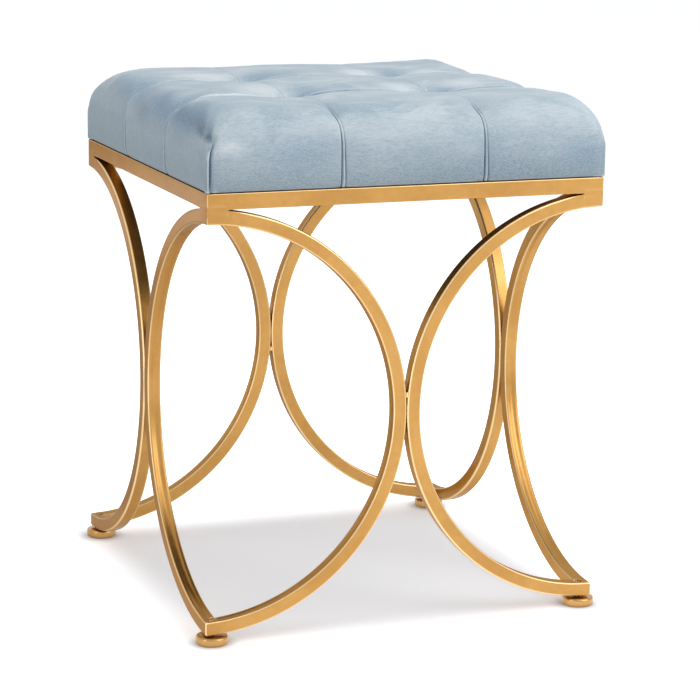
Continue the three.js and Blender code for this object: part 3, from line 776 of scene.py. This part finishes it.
def make_feet():
    r, h, e = DISC_RADIUS, DISC_HEIGHT, DISC_EDGE
    bore, seat = STUD_RADIUS + CLEARANCE, DISC_HEIGHT - STUD_SEAT
    disc = [(0, 0), (r - e, 0)] + fillet((r - e, e), e, -90, 0, 6)[1:]
    disc += fillet((r - e, h - e), e, 0, 90, 6) + [(bore, h), (bore, seat), (0, seat)]
    high = ARC_BOTTOM + ARC_TUBE - CHANNEL_DEPTH + STUD_PROUD
    for corner, (sx, sy) in CORNERS.items():
        centre = (sx * FOOT, sy * FOOT)
        piece(f"levelling_disc_{corner}", lathe(disc, DISC_SIDES, centre), "gold_frame",
              f"foot_disc_{corner}", 50, f"disc_{corner}", POLISHED)
        piece(f"threaded_stud_{corner}", threaded_rod(seat + CLEARANCE, high, centre), "zinc",
              f"foot_stud_{corner}", 50, f"stud_{corner}", POLISHED)


def threaded_rod(low, high, centre):
    """A stud with a helical thread: the ridge climbs one pitch for each turn."""
    rows = round((high - low) / THREAD_PITCH * THREAD_ROWS)
    rings = []
    for k in range(rows + 1):
        z = low + (high - low) * k / rows
        fade = min(1, (high - z) / THREAD_PITCH, (z - low) / THREAD_PITCH)
        ring = []
        for j in range(THREAD_SIDES):
            share = j / THREAD_SIDES
            phase = ((z - low) / THREAD_PITCH - share) % 1
            radius = STUD_RADIUS - THREAD_DEPTH * (abs(2 * phase - 1) * fade + 1 - fade)
            ring.append((*polar(centre, radius, 2 * math.pi * share), z))
        rings.append(ring)
    return tube(rings)


def make_screws():
    place = HALF - SCREW_INSET
    seat = RAIL_TOP - TAB_THICKNESS
    low = seat - SCREW_HEAD_HEIGHT
    profile = [(0, low), (SCREW_FLAT, low)]
    profile += [(SCREW_HEAD_RADIUS * math.sin(turn),
                 seat - SCREW_BEVEL - (SCREW_HEAD_HEIGHT - SCREW_BEVEL) * math.cos(turn))
                for turn in (0.6, 0.85, 1.1, 1.35, math.pi / 2)]
    profile += [(SCREW_HEAD_RADIUS, seat), (SCREW_RADIUS, seat),
                (SCREW_RADIUS, SCREW_TIP - SCREW_BEVEL), (SCREW_RADIUS - SCREW_BEVEL, SCREW_TIP),
                (0, SCREW_TIP)]
    a, b = SCREW_CROSS
    for corner, (sx, sy) in CORNERS.items():
        cx, cy = sx * place, sy * place
        made = piece(f"pan_screw_{corner}", lathe(profile, SCREW_SIDES, (cx, cy)), "zinc",
                     f"seat_screw_{corner}")
        for turn in (0, math.pi / 2):
            c, s = math.cos(turn), math.sin(turn)
            slot = [(x * c - y * s, x * s + y * c) for x, y in ((-a, -b), (a, -b), (a, b), (-a, b))]
            cut_out(made, tube([[(cx + x, cy + y, low - 1) for x, y in slot],
                                [(cx + x * CROSS_BOTTOM[0], cy + y * CROSS_BOTTOM[1], low + 2)
                                 for x, y in slot]]))


# Seat

def pleat_lines():
    """Places of the grid lines across the seat: the panel of each, and its share of that panel."""
    near = [0, 0.45, 0.9, 1.35, 1.8, 2.3, 2.8, 3.4, 4.2, 5.4, 7.2, 10, 14, 19, 25, 33, 43, 54]
    half_inner = [d / PANEL_WIDTH for d in near] + [0.5]
    inner = half_inner + [1 - s for s in reversed(half_inner[:-1])]
    angles = [math.radians(90 - 7.5 * k) for k in range(13)]
    outer = [ROLL_DEPTH * (1 - math.sin(angle)) / PANEL_WIDTH for angle in angles]
    outer += [0.25, 0.31, 0.39, 0.48, 0.58, 0.68]
    outer += [1 - d / PANEL_WIDTH for d in reversed(near[:15])]
    lines = [(0, s) for s in outer] + [(1, s) for s in inner[1:]]
    lines += [(2, 1 - s) for s in reversed(outer[:-1])]
    return np.array([p for p, _ in lines]), np.array([s for _, s in lines])


def swell(panel, share, edge):
    """Height of a panel between its pleats, from 0 to 1. At the edge it changes little."""
    phase = np.where(panel == 0, 0.5 + share / 2, np.where(panel == 2, share / 2, share))
    wave = np.clip(np.sin(np.pi * phase), 0, 1) ** 0.6
    return wave + (1 - wave) * 0.7 * edge


def net(axis, p, s, q, t):
    """Place on the skewed net of pleats, for panels p and q and shares s and t."""
    grid = TUFT_SHARES[:, :, axis]
    low = grid[q, p] * (1 - s) + grid[q, p + 1] * s
    high = grid[q + 1, p] * (1 - s) + grid[q + 1, p + 1] * s
    return (low * (1 - t) + high * t) * SEAT_HALF


def bell(distance, width, power=2):
    """1 at no distance, and next to nothing from two widths on."""
    return np.exp(-(distance / width) ** power)


def lap(distance):
    """Height across a pleat on top: one side slopes down to it, the other lies over it."""
    over = 1 / (1 + np.exp(-distance / 0.25))
    near = -1.0 * bell(distance, 7) * (1 - over)
    return near + 0.9 * bell(distance, 4.5) * over - 1.3 * bell(distance, 0.7)


def crease(distance):
    """Height across a crease that runs into a tuft, with the cloth raised on either side."""
    beside = 1.2 * bell(distance - 2.3, 1.2) + 0.9 * bell(distance + 2.3, 1.2)
    return beside - 2.4 * bell(distance, 1.1)


def fold(distance, gap):
    """Height across a pleat: two grooves a gap apart, with the folded cloth standing between."""
    groove = bell(distance, 0.8) + 0.8 * bell(distance - gap, 0.8)
    ridge = bell(distance - gap / 2, 0.35 * gap + 0.3)
    return -1.6 * groove + 0.8 * ridge - 0.7 * bell(distance, 8)


def round_corners(x, y, half, radius):
    """Moves the points of a square outline, half wide, onto one with round corners."""
    u = np.clip((np.abs(x) - half + radius) / radius, 0, 1)
    v = np.clip((np.abs(y) - half + radius) / radius, 0, 1)
    both = (u > 0) & (v > 0)
    round_x = half - radius + radius * u * np.sqrt(1 - v * v / 2)
    round_y = half - radius + radius * v * np.sqrt(1 - u * u / 2)
    return np.where(both, np.copysign(round_x, x), x), np.where(both, np.copysign(round_y, y), y)


def off_middle(x, y):
    """Half the width of the square about the middle on which a point lies."""
    return np.maximum(np.abs(x), np.abs(y))


def rolled_share(x, y, half, depth):
    """0 on the flat of the top and 1 where the sides begin."""
    return np.clip(1 - (half - off_middle(x, y)) / depth, 0, 1)


def wrinkle(x, y, z, scale, seed):
    """Smooth noise at every point, from -1 to 1."""
    spots = np.stack([x, y, z], -1).reshape(-1, 3) / scale + seed
    return np.array([noise.noise(Vector(s)) for s in spots]).reshape(np.shape(x))


def border(count):
    """Grid places round the edge of a square grid, counterclockwise from the first corner."""
    last = count - 1
    ring = [(k, 0) for k in range(last)] + [(last, k) for k in range(last)]
    return ring + [(k, last) for k in range(last, 0, -1)] + [(0, k) for k in range(last, 0, -1)]


def padded_mesh(top, sides, under):
    """Faces of a form: a grid on top, rows down the sides, and rows and a grid for the hollow."""
    count = top.shape[0]
    cells = [i * count + j for i in range(count - 1) for j in range(count - 1)]
    ring = [i * count + j for i, j in border(count)]
    faces = [(a, a + count, a + count + 1, a + 1) for a in cells]
    above, start = ring, count * count
    for _ in sides:
        below = range(start, start + len(ring))
        faces += band(above, below)
        above, start = below, start + len(ring)
    faces += [(start + a, start + a + 1, start + a + count + 1, start + a + count) for a in cells]
    faces += band(above, [start + a for a in ring])
    return np.concatenate([top.reshape(-1, 3), *sides, under.reshape(-1, 3)]).tolist(), faces


def tuft_places():
    return TUFT_SHARES[1:3, 1:3].reshape(-1, 2) * SEAT_HALF


def top_lift(x, y, net_place, across, rolled):
    """How far the top stands over the roll of its edge: crown, panels, tufts, pleats, wrinkles."""
    p, s, q, t = net_place
    edge_x = np.where(p == 0, 1 - s, np.where(p == 2, s, 0))
    edge_y = np.where(q == 0, 1 - t, np.where(q == 2, t, 0))
    flat = SEAT_HALF - ROLL_DEPTH
    crown_x = np.clip(1 - (x / flat) ** 2, 0, 1)
    crown_y = np.clip(1 - (y / flat) ** 2, 0, 1)
    lift = CROWN * crown_x * crown_y + PANEL_PUFF * swell(p, s, edge_y) * swell(q, t, edge_x)
    lift += CORNER_PUFF * edge_x * edge_y
    closeness = np.zeros_like(x)
    for tx, ty in tuft_places():
        away = np.hypot((x - tx) / 1.3, (y - ty) / 0.9)
        lift -= TUFT_DEPTH * bell(away, 17, 1.15) + TUFT_EYE * bell(away, 7, 1.4)
        closeness = np.maximum(closeness, bell(away, 17))
        turn = np.arctan2(y - ty, x - tx)
        puckers = 0.8 * np.cos(7 * turn + 1.3) + 0.5 * np.cos(11 * turn + 0.4)
        lift += puckers * bell(away - 13, 8)
    to_front = smoothstep((-y - 150) / 28)
    for k, distance in enumerate(across):
        if k < 2:
            lift += (0.1 * lap(distance) + crease(distance) * closeness
                     + 0.9 * fold(distance, pleat_gap(rolled)) * to_front)
        else:
            lift += lap(distance) * (1.0 + 0.5 * closeness)
    lift += 0.9 * wrinkle(x, y, x * 0, 52, 3.1) + 0.3 * wrinkle(x, y, x * 0, 17, 7.7)
    return lift


def pleat_gap(rolled):
    return 1.1 + 1.7 * rolled


def off_corners(x, y):
    """0 at the corners and 1 from a little beside them."""
    return smoothstep(np.abs(np.abs(x) - np.abs(y)) / CORNER_BLEND)


def cushion_points():
    """Grid of the cushion's top, rows of its sides and of its hollow, and the hollow's grid."""
    panel, share = pleat_lines()
    p, q = np.meshgrid(panel, panel, indexing="ij")
    s, t = np.meshgrid(share, share, indexing="ij")
    x = net(0, p, s, q, t)
    y = net(1, p, s, q, t)
    pleats = [int(np.argmax((panel == k) & (share > 0.9999))) for k in (0, 1)]
    across = [x - x[k, :][None, :] for k in pleats] + [y - y[:, k][:, None] for k in pleats]
    rolled = rolled_share(x, y, SEAT_HALF, ROLL_DEPTH)
    rise = np.sqrt(1 - rolled ** 2)
    bulge = np.where(np.abs(x) >= np.abs(y), swell(q, t, 0), swell(p, s, 0))

    level = off_middle(x, y)
    high = np.zeros_like(x)
    for corner, (sx, sy) in CORNERS.items():
        high = np.where((x * sx > 0) & (y * sy > 0), CORNER_HIGHS[corner], high)
    radius = np.where(rolled > 0, CORNER_LOW + (high - CORNER_LOW) * rise ** 1.3,
                      high * (level / (SEAT_HALF - ROLL_DEPTH)) ** 6 + 0.01)
    round_x, round_y = round_corners(x, y, level, np.clip(radius, 0.01, level + 0.01))
    lift = top_lift(x, y, (p, s, q, t), across, rolled)
    z = ROLL_START + ROLL_HEIGHT * rise + (1 - rolled ** 2) * lift
    z -= notches(x, y, across)
    from_back_left = np.hypot(x + SEAT_HALF, y - SEAT_HALF)
    z -= 3.5 * bell(from_back_left, 70, 1) * (1 - rolled ** 2)
    push = SIDE_PUFF * bulge
    for distance in across:
        push += fold(distance, pleat_gap(rolled))
    push = push * rolled ** 2 * off_corners(x, y)
    out_x = np.where(np.abs(x) >= np.abs(y), np.sign(x), 0) * rolled
    out_y = np.where(np.abs(y) > np.abs(x), np.sign(y), 0) * rolled
    top = np.stack([round_x + out_x * push, round_y + out_y * push, z], -1)

    ring = border(len(panel))
    i, j = (np.array(places) for places in zip(*ring))
    ex, ey = x[i, j], y[i, j]
    on_x = np.abs(ex) >= np.abs(ey)
    distances = [np.where(on_x, ey - y[i, k], ex - x[k, j]) for k in pleats]
    sides = side_rows(ex, ey, bulge[i, j], distances)
    inner_half = SEAT_HALF - COVER_THICKNESS
    scale = inner_half / SEAT_HALF
    ix, iy = round_corners(ex * scale, ey * scale, inner_half, FOAM_CORNER)
    for height in (SEAT_BOTTOM, BOARD_TOP, FOAM_TOP - FOAM_ROLL):
        sides.append(np.stack([ix, iy, np.full(len(ring), float(height))], -1))
    inner_roll = rolled_share(x * scale, y * scale, inner_half, FOAM_ROLL)
    level = level * scale
    gx, gy = round_corners(x * scale, y * scale, level, np.minimum(level, FOAM_CORNER) + 0.01)
    ceiling = FOAM_TOP + CLEARANCE - FOAM_ROLL + FOAM_ROLL * np.sqrt(1 - inner_roll ** 2)
    hollow = np.stack([gx, gy, ceiling], -1)
    return pinch_corners(top), [pinch_corners(row) for row in sides], hollow


def side_rows(x, y, bulge, distances):
    """Rows of points down the sides, which bulge between the pleats and tuck in at the bottom."""
    at_x = np.abs(np.abs(x) - SEAT_HALF) < 0.01
    at_y = np.abs(np.abs(y) - SEAT_HALF) < 0.01
    out_x = np.where(at_x & ~at_y, np.sign(x), 0)
    out_y = np.where(at_y & ~at_x, np.sign(y), 0)
    rx, ry = round_corners(x, y, SEAT_HALF, CORNER_LOW)
    rows = []
    for row in range(1, SIDE_ROWS + 1):
        down = row / SIDE_ROWS
        level = np.full(len(x), ROLL_START + (SEAT_BOTTOM - ROLL_START) * down)
        out = SIDE_PUFF * bulge * (1 - down ** 3) - TUCK * down ** 8
        for distance in distances:
            out += fold(distance, 2.8 + 1.4 * down)
        out += 0.45 * wrinkle(rx, ry, level, 34, 1.7) * (1 - down ** 4)
        out = out * off_corners(x, y)
        rows.append(np.stack([rx + out_x * out, ry + out_y * out, level], -1))
    return rows


def notches(x, y, across):
    """How deep the shoulder of the cushion is drawn in where a pleat goes over it."""
    result = np.zeros_like(x)
    on_x = np.abs(x) >= np.abs(y)
    inset = SEAT_HALF - off_middle(x, y)
    shoulder = bell(inset - SHOULDER_INSET, 15) * smoothstep(inset / 8)
    for k, distance in enumerate(across):
        if k < 2:
            depth = ~on_x * np.where(y < 0, NOTCH_FRONT, NOTCH_BACK)
        else:
            depth = on_x * np.where(x < 0, NOTCH_LEFT, NOTCH_RIGHT)
        result += depth * shoulder * bell(np.abs(distance), 13, 1.4)
    return result


def pinch_corners(points):
    """Draws each upright corner in where its dart ends, with a crease below it."""
    x, y, z = points[..., 0], points[..., 1], points[..., 2]
    result = points.copy()
    for corner, (sx, sy) in CORNERS.items():
        drawn = 0.3 if corner == "front_right" else 1.0
        beside = np.hypot(x - sx * (SEAT_HALF - 3), y - sy * (SEAT_HALF - 3))
        away = np.sqrt(beside ** 2 + ((z - PINCH_HEIGHT) * 0.9) ** 2)
        pinch = 4.6 * drawn * bell(away, 8)
        skew = (np.abs(x) - np.abs(y)) * 0.7
        below = 1 / (1 + np.exp((z - PINCH_HEIGHT - 3) / 2))
        dent = 3.4 * drawn ** 2 * bell(skew + 3.0, 0.9) * bell(beside, 9) * below
        inward = pinch * smoothstep((z - SEAT_BOTTOM) / 6)
        result[..., 0] -= sx * inward * 0.7
        result[..., 1] -= sy * (inward * 0.7 + dent)
    return result


def make_cushion():
    made = piece("tufted_cushion", padded_mesh(*cushion_points()), "velvet", "seat_cover", 75)


def make_foam():
    """Foam block that fills the cushion's hollow, with a dip under each tuft."""
    half = SEAT_HALF - COVER_THICKNESS - CLEARANCE
    flat = half - FOAM_ROLL
    roll = FOAM_ROLL * (1 - np.sin(np.radians(np.arange(0, 91, 15))))
    places = np.concatenate([-half + roll[::-1], np.linspace(-flat, flat, 27)[1:-1], half - roll])
    x, y = np.meshgrid(places, places, indexing="ij")
    rolled = rolled_share(x, y, half, FOAM_ROLL)
    z = FOAM_TOP - FOAM_ROLL + FOAM_ROLL * np.sqrt(1 - rolled ** 2)
    for tx, ty in tuft_places():
        z -= 4 * bell(np.hypot(x - tx, y - ty), 18)
    level = off_middle(x, y)
    rx, ry = round_corners(x, y, level, np.minimum(level, FOAM_CORNER) + 0.01)
    edge = np.array([(rx[i, j], ry[i, j], 0) for i, j in border(len(places))])
    rows = [edge + (0, 0, low) for low in np.linspace(FOAM_TOP - FOAM_ROLL, BOARD_TOP, 6)[1:]]
    bottom = np.stack([rx * 0.98, ry * 0.98, np.full_like(rx, BOARD_TOP)], -1)
    made = piece("foam_block", padded_mesh(np.stack([rx, ry, z], -1), rows, bottom),
                 "foam", "seat_foam", 60)


def make_ties():
    for name in "front_left", "front_right", "back_left", "back_right":
        sx, sy = CORNERS[name]
        centre = TUFT_SHARES[(3 + sy) // 2, (3 + sx) // 2] * SEAT_HALF
        shape = twisted_twine(centre, BOARD_TOP, FOAM_TOP - 3)
        piece(f"tuft_twine_{name}", shape, "twine", f"tuft_tie_{name}", 80)


def twisted_twine(centre, low, high):
    """Two strands laid round each other."""
    points, faces = [], []
    for strand in (0, math.pi):
        rings = []
        for k in range(TWINE_ROWS + 1):
            z = low + (high - low) * k / TWINE_ROWS
            at = polar(centre, 0.38, strand + 2 * math.pi * (z - low) / TWINE_PITCH)
            rings.append([(*polar(at, STRAND_RADIUS, turn), z) for turn in turns(STRAND_SIDES)])
        ring_points, ring_faces = tube(rings)
        start = len(points)
        points += ring_points
        faces += [tuple(start + i for i in face) for face in ring_faces]
    return points, faces


def make_dust_cover():
    """Black cloth held between the rails and the board, a little slack inside the frame."""
    half = HALF - CLOTH_INSET
    places = np.linspace(-half, half, 91)
    x, y = np.meshgrid(places, places, indexing="ij")
    free = HALF - RAIL_TUBE - 4
    in_x, in_y = free - np.abs(x), free - np.abs(y)
    room = np.clip(in_x / 30, 0, 1) * np.clip(in_y / 30, 0, 1)
    slack = room * np.clip((np.hypot(in_x, in_y) - 40) / 20, 0, 1)
    folds = 0.9 * wrinkle(x, y, x * 0, 60, 5.3)
    sag = slack * (1.1 + folds + 0.5 * wrinkle(x, y * 0.3, x * 0, 16, 9.1))
    lower = np.stack([x, y, RAIL_TOP + 0.05 - np.clip(sag, 0, None)], -1)
    upper = lower + np.array([0, 0, 0.6])
    row = np.array([lower[i, j] for i, j in border(len(places))])
    made = piece("dust_cloth", padded_mesh(upper, [row], lower), "dust_cloth", "dust_cover", 60)


def dress_solids():
    """Finishes for the solids that stay."""
    slots = {entry["node"]: entry["material_slot"] for entry in frame["record"]["subparts"]}
    for name, node in frame["nodes"].items():
        node.data.materials.clear()
        node.data.materials.append(FINISHES[slots[name]])


# Studio

def camera():
    data = bpy.data.cameras.new("camera")
    data.sensor_width = SENSOR
    data.lens = FOCAL_PIXELS / PICTURE * SENSOR
    data.shift_y = (MIDDLE_ROW - PICTURE / 2) / PICTURE
    data.clip_end = 50
    made = new_object("camera", data)
    a, e, r = (math.radians(angle) for angle in (AZIMUTH, ELEVATION, ROLL))
    back = Vector((math.sin(a) * math.cos(e), -math.cos(a) * math.cos(e), math.sin(e)))
    level = Vector((0, 0, 1)).cross(back).normalized()
    upward = back.cross(level)
    right = math.cos(r) * level + math.sin(r) * upward
    up = math.cos(r) * upward - math.sin(r) * level
    turn = Matrix((right, up, back)).transposed().to_4x4()
    made.matrix_world = Matrix.Translation(Vector(CAMERA_AT) * MM) @ turn
    bpy.context.scene.camera = made


def lamp(name, at, towards, size, power):
    data = bpy.data.lights.new(name, "AREA")
    data.shape = "RECTANGLE"
    data.size, data.size_y = size
    data.energy = power
    made = new_object(name, data)
    made.location = at
    made.rotation_mode = "QUATERNION"
    made.rotation_quaternion = (Vector(at) - Vector(towards)).to_track_quat("Z", "Y")


def studio():
    for values in LAMPS:
        lamp(*values)

    world = bpy.data.worlds.new("studio")
    world.use_nodes = True
    bpy.context.scene.world = world
    made = Tree(world.node_tree)
    strength = made.span(made.most(*made.rays()), 0, 1, WORLD_LIGHT, 1)
    background = world.node_tree.nodes["Background"].inputs
    made.feed(strength, background["Strength"])
    made.feed((1, 1, 1), background["Color"])

    bpy.ops.mesh.primitive_circle_add(vertices=96, radius=FLOOR_RADIUS, fill_type="NGON",
                                      location=(0, 0, 0))
    floor = bpy.context.object
    floor.name = "floor"
    floor.data.materials.append(pale_floor())
    bpy.context.scene.view_settings.view_transform = "Standard"


dress_solids()
make_arcs()
make_rails()
make_welds()
make_feet()
make_screws()
make_cushion()
make_foam()
make_ties()
make_dust_cover()
camera()
studio()
